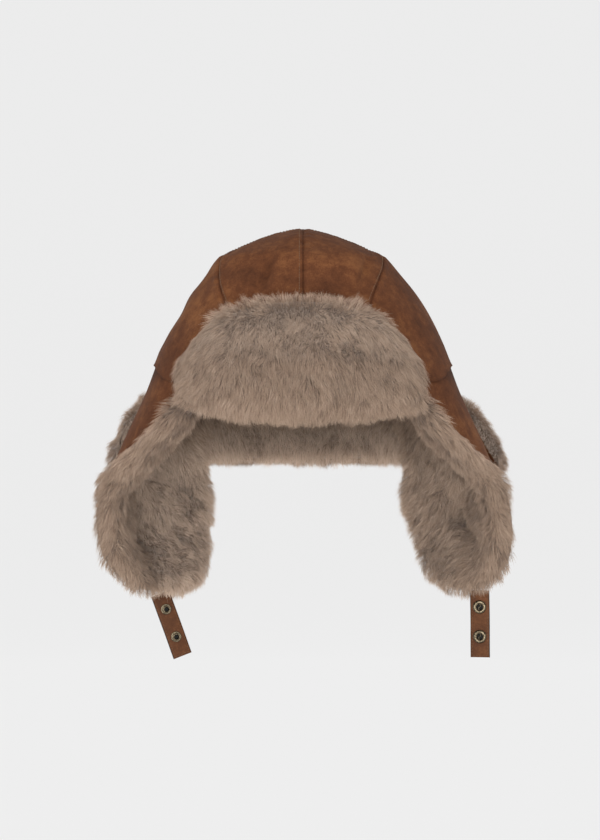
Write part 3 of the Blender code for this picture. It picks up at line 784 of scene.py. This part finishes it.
def creases(points):
    """How far the crown leather swells off its pattern: soft hollows and two front dents."""
    swell = 0.0009 * waves(points, 0.09, 3, 12) + 0.00045 * waves(points, 0.03, 4, 12)
    for x, z, wide, tall, deep in DENTS:
        across = points[..., 0] - x - DENT_SLANT * (points[..., 2] - z)
        near = np.exp(-(across / wide) ** 2 - ((points[..., 2] - z) / tall) ** 2)
        swell = swell - deep * near * (points[..., 1] < 0)
    return swell


def loose(v):
    """How free the crown leather is to crease: not at its tip, nor at its hem."""
    return smooth(0.0, 0.06, v) * (1 - smooth(0.84, 0.93, v))


def crown_drop(angle):
    """How far the crown's lower edge hangs down over the band, most at the front."""
    off_side = np.degrees(np.arctan2(np.sin(angle), np.abs(np.cos(angle))))
    return HEM_DROP + HEM_DROP_FRONT * (1 - smooth(-36.0, -7.0, off_side))


def crown_surface(angle, v, offset):
    """The crown and its hem, which laps over the band, at an inward offset."""
    share = np.clip(v / CROWN_SHARE, 0, 1)
    hem = np.clip((v - CROWN_SHARE) / (1 - CROWN_SHARE), 0, 1)
    dome = crown_point(angle, share, offset)
    lap = band_point(angle, SEAM_Z - hem * crown_drop(angle), offset - LIP)
    return np.where((hem > 0)[..., None], lap, dome)


def crown_panel(name, start, end, columns):
    u, v = grid_uv(columns, 110, 0, 1, FIRST_SHARE, 1.0)
    here = crown_profile(v / CROWN_SHARE)
    first, last = start(here[..., 1]), end(here[..., 1])
    angle = mix(first, last, u)
    edge = np.minimum(u, 1 - u) * (last - first) * here[..., 0]
    plain = crown_surface(angle, v, 0.0)
    crease = creases(plain)
    groove = 0.0008 * bell(edge, 0.0011) - 0.0005 * bell(edge - 0.0045, 0.003)
    pucker = 0.0003 * waves(plain, 0.007, 6, 10) * bell(edge, 0.008)
    offset = (groove + pucker * loose(v) - crease * loose(v)) * smooth(0.0, 0.04, v)
    piece = shell(name, crown_surface(angle, v, offset), crown_surface(angle, v, offset + CROWN_LEATHER),
                  LEATHER)
    # Painted shade: darker where the crown leather sinks into its front dents.
    dent_painted_shade = 120 * np.clip(-crease - 0.0016, 0, 1) * loose(v)
    add_wear_and_shade(piece, 0.3 * bell(edge, 0.0016) + 0.35 * bell(v - 1.0, 0.022) + dent_painted_shade)
    return piece


def crown_row(name, angle_of, offset_m):
    """Stitches down one side of a crown seam, offset_m from it."""
    v = np.linspace(0.03, 0.97, 160)
    here = crown_profile(v / CROWN_SHARE)
    angle = angle_of(here[..., 1]) + offset_m / np.maximum(here[..., 0], 0.004)
    path = crown_surface(angle, v, -creases(crown_surface(angle, v, 0.0)) * loose(v) - 0.0003)
    normal = path - crown_surface(angle, v, 0.004)
    dress(stitches(name, path, normal), "leather", "hat")


def crown_lining():
    """The wadding and the lining inside the crown, each in a front and a back half."""
    for word, start in (("front", -math.pi), ("back", 0.0)):
        u, v = grid_uv(60, 30, 0.0, 1.0, 0.01, 1.0)
        angle = start + math.pi * u
        quilt = 0.0008 * np.abs(np.sin(6 * angle)) * smooth(0, 0.2, v)
        for kind, inset, thick, material in (("wadding", 0.0078, 0.0018, WADDING),
                                             ("lining", 0.0104, 0.0006, LINING)):
            outer = crown_point(angle, v, inset + quilt)
            inner = crown_point(angle, v, inset + thick + quilt)
            piece = shell("crown_" + kind + "_sheet_" + word, outer, inner, material)
            dress(piece, kind, "hat", "crown_" + kind + "_" + word)


def crown():
    def seam(side, toward_back):
        """Angle of the seam between a side panel and the front or back one, on either side."""
        def at(z):
            angle = crown_seam_angle(z, side) * toward_back
            return angle if side == LEFT else np.pi - angle
        return at
    quarter = math.pi / 2
    spans = [("crown_front_left", even(-quarter), seam(LEFT, -1), 50),
             ("crown_side_left", seam(LEFT, -1), seam(LEFT, 1), 90),
             ("crown_back_left", seam(LEFT, 1), even(quarter), 50),
             ("crown_back_right", even(quarter), seam(RIGHT, 1), 50),
             ("crown_side_right", seam(RIGHT, 1), seam(RIGHT, -1), 90),
             ("crown_front_right", seam(RIGHT, -1), even(3 * quarter), 50)]
    for cad_node, start, end, columns in spans:
        dress(crown_panel(cad_node + "_leather", start, end, columns), "leather", "hat", cad_node)
    rows = [("front_middle", even(-quarter), -SEAM_TO_ROW), ("back_middle", even(quarter), SEAM_TO_ROW)]
    for side, word in SIDES:
        rows += [("front_seam_" + word, seam(side, -1), -SEAM_TO_ROW * side),
                 ("back_seam_" + word, seam(side, 1), SEAM_TO_ROW * side)]
    for name, angle_of, offset in rows:
        crown_row("crown_thread_" + name, angle_of, offset)
    crown_lining()


EAR_TIP_Z = -0.016


def temple_hem(degrees):
    """Height of a side panel's lower edge at an angle."""
    front = mix(BROW_Z, EAR_TIP_Z, smooth(TEMPLE_ANGLE, EAR_FRONT, degrees))
    ear = np.maximum(EAR_SEAM_Z, front)
    return mix(ear, HEM_Z, smooth(EAR_REAR, BACK_ANGLE, degrees))


def band_mirrored(side, angle, z, inset):
    """A place on the band, on the left or mirrored to the right."""
    points = band_point(angle, z, inset)
    points[..., 0] *= side
    return points


def band_sheet(name, cad_node, side, start, end, hem, columns):
    """A panel of the band between two angles, with its hem's stitches."""
    u, v = grid_uv(columns, 44)
    degrees = mix(start, end, u)
    low = hem(degrees)
    z = mix(SEAM_Z + 0.0004, low, v)
    angle = np.radians(degrees)
    edge = z - low
    ripple = 0.0008 * waves(band_point(angle, z, 0.0), 0.055, 8, 12)
    swell = ripple * np.sin(np.pi * v) - 0.0007 * bell(edge, 0.0018)
    piece = shell(name, band_mirrored(side, angle, z, -swell),
                  band_mirrored(side, angle, z, BAND_LEATHER - swell), LEATHER)
    add_wear_and_shade(piece, 0.6 * bell(edge, 0.003) + 0.7 * bell(z - SEAM_Z + 0.004, 0.008))
    dress(piece, "leather", "hat", cad_node)
    angle = np.radians(np.linspace(start + 0.5, end - 0.5, 300))
    z = hem(np.degrees(angle)) + 0.003
    path = band_mirrored(side, angle, z, -0.0004)
    thread = stitches(name + "_thread", path, path - band_mirrored(side, angle, z, 0.004))
    dress(thread, "leather", "hat")


def band():
    for side, word in SIDES:
        band_sheet("band_side_leather_" + word, "band_side_" + word, side, TEMPLE_ANGLE, BACK_ANGLE,
                   temple_hem, 90)
    band_sheet("band_brow_leather", "band_brow", 1, -140.0, -40.0, even(BROW_Z + 0.008), 60)
    band_sheet("band_back_leather", "band_back", 1, 58.0, 122.0, even(HEM_Z), 60)


def ear_leather(side, word):
    """The leather outside an ear flap, its wadding and the stitches round its edge."""
    v0 = 0.5 * (SIDE_TOP - EAR_SEAM_Z) / (SIDE_TOP - HINGE.z)
    u, v = grid_uv(70, 70, 0.0, 1.0, v0, 1.0)
    plain = side_point(side, u, v, 0.0)
    swell = 0.001 * waves(plain, 0.05, 14, 12) * np.sin(np.pi * u) * (1 - smooth(0.85, 1.0, v))
    piece = shell("ear_flap_leather_shell_" + word, side_point(side, u, v, -swell),
                  side_point(side, u, v, BAND_LEATHER - swell), LEATHER)
    edge = np.minimum(np.minimum(u, 1 - u) * 0.11, (1 - v) * 0.16)
    add_wear_and_shade(piece, 0.7 * bell(edge, 0.004) + 0.6 * bell(v - v0, 0.015))
    u, v = grid_uv(40, 36, 0.08, 0.92, 0.56, 0.9)
    wad = shell("ear_flap_wadding_sheet_" + word, side_point(side, u, v, 0.0015),
                side_point(side, u, v, 0.002), WADDING)
    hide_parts("ear_flap_leather_" + word)
    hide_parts("ear_flap_wadding_" + word)
    front, rear, tip, count = 0.03, 0.97, 0.975, 120
    across = np.linspace(front, rear, count)
    down = np.linspace(v0 + 0.03, tip, count)
    path_u = np.concatenate([np.full(count, front), across, np.full(count, rear)])
    path_v = np.concatenate([down, np.full(count, tip), down[::-1]])
    path = side_point(side, path_u, path_v, -0.0003)
    thread = stitches("ear_flap_thread_" + word, path, path - side_point(side, path_u, path_v, 0.004))
    for made, slot in ((piece, "leather"), (wad, "wadding"), (thread, "leather")):
        ear_blend(made)


# ---- straps and snaps
STRAP_TURN = math.radians(14.0)
STRAP_HALF, STRAP_THICK, STRAP_LOW, STRAP_HIGH = 0.0072, 0.002, -0.0448, 0.005
STRAP_WAVE, STRAP_WAVES_PER_M = 0.00035, 150.0
STRAP_ROW_INSET, STRAP_THREAD_R = 0.0015, 0.00013
SNAP_ROWS = (("lower", -0.0293), ("upper", -0.0073))
SNAP_BASE = STRAP_THICK / 2 + 0.0001
MM = 0.001
PIN = 0.00005
# Snap profiles in millimetres: radius, and height above the strap's face.
STUD_PROFILE = ((1.2, -1.0), (3.6, -0.2), (3.9, 0.1), (4.0, 0.5), (3.7, 0.8), (3.1, 0.7), (2.6, 0.5),
                (2.4, 0.9), (2.2, 1.4), (2.6, 2.0), (2.7, 2.4), (2.4, 2.8), (2.1, 2.9), (1.8, 2.6),
                (1.6, 2.0), (1.5, 0.8))
SOCKET_PROFILE = ((1.2, 0.0), (4.4, -0.2), (4.9, 0.2), (5.0, 0.8), (4.7, 1.3), (4.1, 1.7), (3.3, 1.7),
                  (2.6, 1.4), (2.2, 0.8), (1.2, 0.6))
# Each side's snaps: kind, profile, radius of the cap behind, and the hole's radius and height.
SNAPS = {RIGHT: ("snap_stud_", STUD_PROFILE, 0.004, 0.0017, 0.0019),
         LEFT: ("snap_socket_", SOCKET_PROFILE, 0.0045, 0.0024, 0.0009)}
SPRING_SWAY, SPRING_REACH, SPRING_WIRE_R = 0.0008, 0.002, 0.00024
MARK_CIRCLE = 0.004


def strap_frame(side, word):
    """Place of a strap, taken from its joint: Z out of its front face and -Y down its length."""
    joint = JOINTS["chin_strap_" + word + "_swing"]
    across = Vector(joint["axis"]).normalized()
    out = Vector((-side * math.sin(STRAP_TURN), -math.cos(STRAP_TURN), 0.0))
    place = Matrix((across, out.cross(across), out)).transposed().to_4x4()
    place.translation = Vector(joint["pos_m"])
    return place


def put(points, place):
    flat = np.asarray(points, float).reshape(-1, 3)
    turned = flat @ np.array(place.to_3x3()).T + np.array(place.translation)
    return turned.reshape(np.shape(points))


def lathe(name, profile, place, body, *cad_nodes, material=BRASS, steps=48):
    """A turned part of a snap from a closed profile of (radius, height)."""
    profile = np.array(profile)
    turn = np.linspace(0, 2 * np.pi, steps, endpoint=False)[:, None]
    points = stack(profile[:, 0] * np.cos(turn), profile[:, 0] * np.sin(turn), profile[:, 1])
    faces = grid_faces(np.pad(grid_index(steps, len(profile)), (0, 1), "wrap").T)
    dress(mesh_object(name, put(points, place), faces, material), "antique_brass", body, *cad_nodes)


def tube(name, path, radius, place, sides=8):
    """A flat-lying brass wire along a path."""
    up = np.array([0.0, 0.0, 1.0])
    across = unit(np.cross(unit(np.gradient(path, axis=0)), up))
    turn = np.linspace(0, 2 * np.pi, sides, endpoint=False)
    rings = path[:, None] + radius * (across[:, None] * np.cos(turn)[None, :, None]
                                      + up * np.sin(turn)[None, :, None])
    count = len(path)
    last = (count - 1) * sides
    faces = rod_walls(count, sides)
    for m in range(sides):
        after = (m + 1) % sides
        faces += [[m, count * sides, after], [last + m, last + after, count * sides + 1]]
    vertices = np.concatenate([put(rings, place).reshape(-1, 3), put(path[[0, -1]], place)])
    return mesh_object(name, vertices, faces, BRASS)


def strap_wave(y, side):
    return STRAP_WAVE * np.sin(y * STRAP_WAVES_PER_M + side)


def strap(side, word):
    """A strap with painted edges, a row of stitches round it and two snaps."""
    place = strap_frame(side, word)
    u, v = grid_uv(10, 70)
    x = STRAP_HALF * np.sin(np.pi * (u - 0.5))
    y = mix(STRAP_LOW, STRAP_HIGH, v)
    edge = np.minimum(STRAP_HALF - np.abs(x), y - STRAP_LOW)
    soft = 0.00045 * bell(edge, 0.0006) + 0.00012 * bell(edge - 0.0014, 0.0004)
    front = stack(x, y, STRAP_THICK / 2 - soft + strap_wave(y, side))
    back = stack(x, y, -STRAP_THICK / 2 + soft + strap_wave(y, side))
    obj = shell("chin_strap_leather_" + word, put(front, place), put(back, place), STRAP)
    paint_edges(obj, *u.shape)
    dress_strap(obj)
    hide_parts("chin_strap_" + word)
    inset, corner = STRAP_HALF - STRAP_ROW_INSET, STRAP_LOW + STRAP_ROW_INSET
    down = np.linspace(STRAP_HIGH, corner, 60)
    path = np.concatenate([stack(-inset, down, 0.0), stack(np.linspace(-inset, inset, 20), corner, 0.0),
                           stack(inset, down[::-1], 0.0)])
    path[:, 2] = STRAP_THICK / 2 + strap_wave(path[:, 1], side) - 0.0001
    up = np.tile(place.to_3x3().col[2], (len(path), 1))
    thread = stitches("chin_strap_thread_" + word, put(path, place), up, STRAP_THREAD_R)
    dress_strap(thread)
    for row, y in SNAP_ROWS:
        here = place @ Matrix.Translation((0.0, y, strap_wave(y, side)))
        snap(side, row, here, "chin_strap_" + word)


def paint_edges(obj, rows, columns):
    """The edge paint: the walls between a strap's faces, and the outermost strip of each face."""
    obj.data.materials.append(EDGE)
    flat = 2 * (rows - 1) * (columns - 1)
    index = np.ones(len(obj.data.polygons), np.int32)
    column = np.arange(flat) % (columns - 1)
    index[:flat] = (column == 0) | (column == columns - 2)
    obj.data.polygons.foreach_set("material_index", index)


def dress_strap(piece):
    """A piece of a strap, with its transform baked into its mesh."""
    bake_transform(piece)


def snap(side, row, here, body):
    """A snap's ring, the post and domed cap behind it, and a near-black disc in its hole as painted shade.
    """
    kind, profile, radius, hole, floor = SNAPS[side]
    ring = [(r * MM, SNAP_BASE + height * MM) for r, height in profile]
    lathe(kind + "turned_" + row, ring, here, body, kind + row)
    back = -STRAP_THICK / 2
    cap = [(0.0001, STRAP_THICK / 2 + 0.0004), (0.001, STRAP_THICK / 2 + 0.0003), (0.0011, back),
           (radius - 0.0002, back), (radius, back - 0.0003), (radius - 0.0004, back - 0.0008),
           (radius - 0.0014, back - 0.0012), (0.0001, back - 0.0013)]
    lathe(kind + "cap_turned_" + row, cap, here, body, kind + "cap_" + row)
    # Painted shade: a near-black disc at the floor of the hole.
    top = SNAP_BASE + floor
    disc = [(PIN, top), (hole, top), (hole, top - 0.0002), (PIN, top - 0.0002)]
    lathe(kind + "hollow_" + row, disc, here, body, material=HOLE_SHADE, steps=32)
    if side == LEFT:
        spring_and_marks(row, here, body)


def spring_and_marks(row, here, body):
    """The wire spring across a socket and four dots round its ring."""
    share = np.linspace(-1, 1, 41)
    path = stack(SPRING_SWAY * np.sin(share * np.pi * 0.95), SPRING_REACH * share, SNAP_BASE + 0.0012)
    wire = tube("snap_spring_wire_" + row, path, SPRING_WIRE_R, here)
    dress(wire, "antique_brass", body, "snap_spring_" + row)
    mark = [(PIN, 0.0), (0.0003, 0.0), (0.00034, -0.0001), (0.00034, -0.0006), (PIN, -0.0006)]
    for k in range(4):
        angle = math.radians(35 + 90 * k)
        spot = here @ Matrix.Translation((MARK_CIRCLE * math.cos(angle), MARK_CIRCLE * math.sin(angle),
                                          SNAP_BASE + 0.00175))
        lathe("snap_socket_mark_" + row + "_" + str(k), mark, spot, body, material=EDGE, steps=12)


# ---- stage, lights and camera
FLOOR_Z, FLOOR_R, COVE_R, WALL_TOP = -0.42, 2.6, 1.2, 4.0
STAGE_STEPS = 72
CAMERA_DISTANCE, HEIGHT_SEEN, SENSOR_MM = 1.7, 0.6216, 36.0
CAMERA_X, CAMERA_Z = -0.0022, 0.0311


def stage():
    """A round pale studio: a flat floor that curves up into a wall all round."""
    bend = np.linspace(0, math.pi / 2, 12)
    radii = np.append(FLOOR_R + COVE_R * np.sin(bend), FLOOR_R + COVE_R)[:, None]
    heights = np.append(COVE_R - COVE_R * np.cos(bend), WALL_TOP)[:, None]
    turn = np.linspace(0, 2 * math.pi, STAGE_STEPS, False)
    rings = stack(radii * np.cos(turn), radii * np.sin(turn), FLOOR_Z + heights).reshape(-1, 3)
    middle = len(rings)
    faces = [face[::-1] for face in rod_walls(len(radii), STAGE_STEPS)]
    faces += [(middle, k, (k + 1) % STAGE_STEPS) for k in range(STAGE_STEPS)]
    paper = shader_of("studio_paper", Base_Color=(0.12, 0.12, 0.12, 1), Roughness=0.9,
                      Emission_Color=(1, 1, 1, 1), Emission_Strength=0.715)[0]
    mesh_object("studio", np.append(rings, [[0, 0, FLOOR_Z]], axis=0), faces, paper)


def area_light(name, place, aim, size, power):
    data = bpy.data.lights.new(name, "AREA")
    data.shape = "RECTANGLE"
    data.size, data.size_y = size
    data.energy = power
    obj = add_object(name, data)
    obj.location = place
    obj.rotation_euler = (Vector(aim) - Vector(place)).to_track_quat("-Z", "Y").to_euler()


def lights():
    world = bpy.data.worlds.new("studio_air")
    world.use_nodes = True
    settle(world.node_tree.nodes["Background"], Color=(1, 1, 1, 1), Strength=0.6)
    bpy.context.scene.world = world
    area_light("front", (-0.25, -2.4, -0.05), (0, 0, 0.02), (1.8, 1.6), 54)
    area_light("fill", (0.0, -0.9, -0.36), (0, 0.05, 0.02), (0.9, 0.5), 4)
    area_light("top", (0.3, -0.3, 2.2), (0, 0, 0.05), (1.6, 1.4), 5)
    bpy.context.scene.view_settings.view_transform = "Standard"


def camera():
    data = bpy.data.cameras.new("camera")
    data.lens = SENSOR_MM * CAMERA_DISTANCE / HEIGHT_SEEN
    obj = add_object("camera", data)
    obj.location = (CAMERA_X, -CAMERA_DISTANCE, CAMERA_Z)
    obj.rotation_euler = (math.pi / 2, 0, 0)
    bpy.context.scene.camera = obj


camera()
stage()
lights()
crown()
band()
front_flap()
rear_cuff()
lining_fur()
for side, word in SIDES:
    side_fur(side, word)
    ear_leather(side, word)
    strap(side, word)
